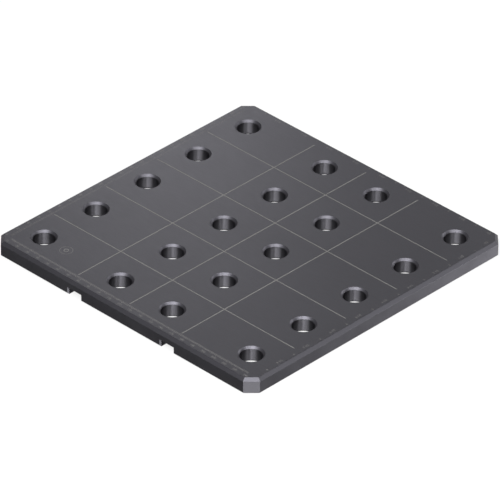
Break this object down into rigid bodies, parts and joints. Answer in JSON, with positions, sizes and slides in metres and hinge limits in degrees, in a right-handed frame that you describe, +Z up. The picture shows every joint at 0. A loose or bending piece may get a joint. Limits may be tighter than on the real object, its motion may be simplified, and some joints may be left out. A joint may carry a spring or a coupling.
{
  "type": "fixture plate",
  "caption": "Square steel workholding plate with chamfered through bores in columns and rows, scribed grid lines on top and two slots across the underside.",
  "frame": {"origin": "centre of the underside", "axes": "+Z up through the plate's thickness, +X along a row of bores, +Y along the underside slots"},
  "size_m": [0.25, 0.25, 0.012],
  "materials": {
    "plate_steel": "dark nitrided, fine ground, satin"
  },
  "bodies": {
    "root": {"fixture_plate": "plate_steel"}
  },
  "joints": []
}
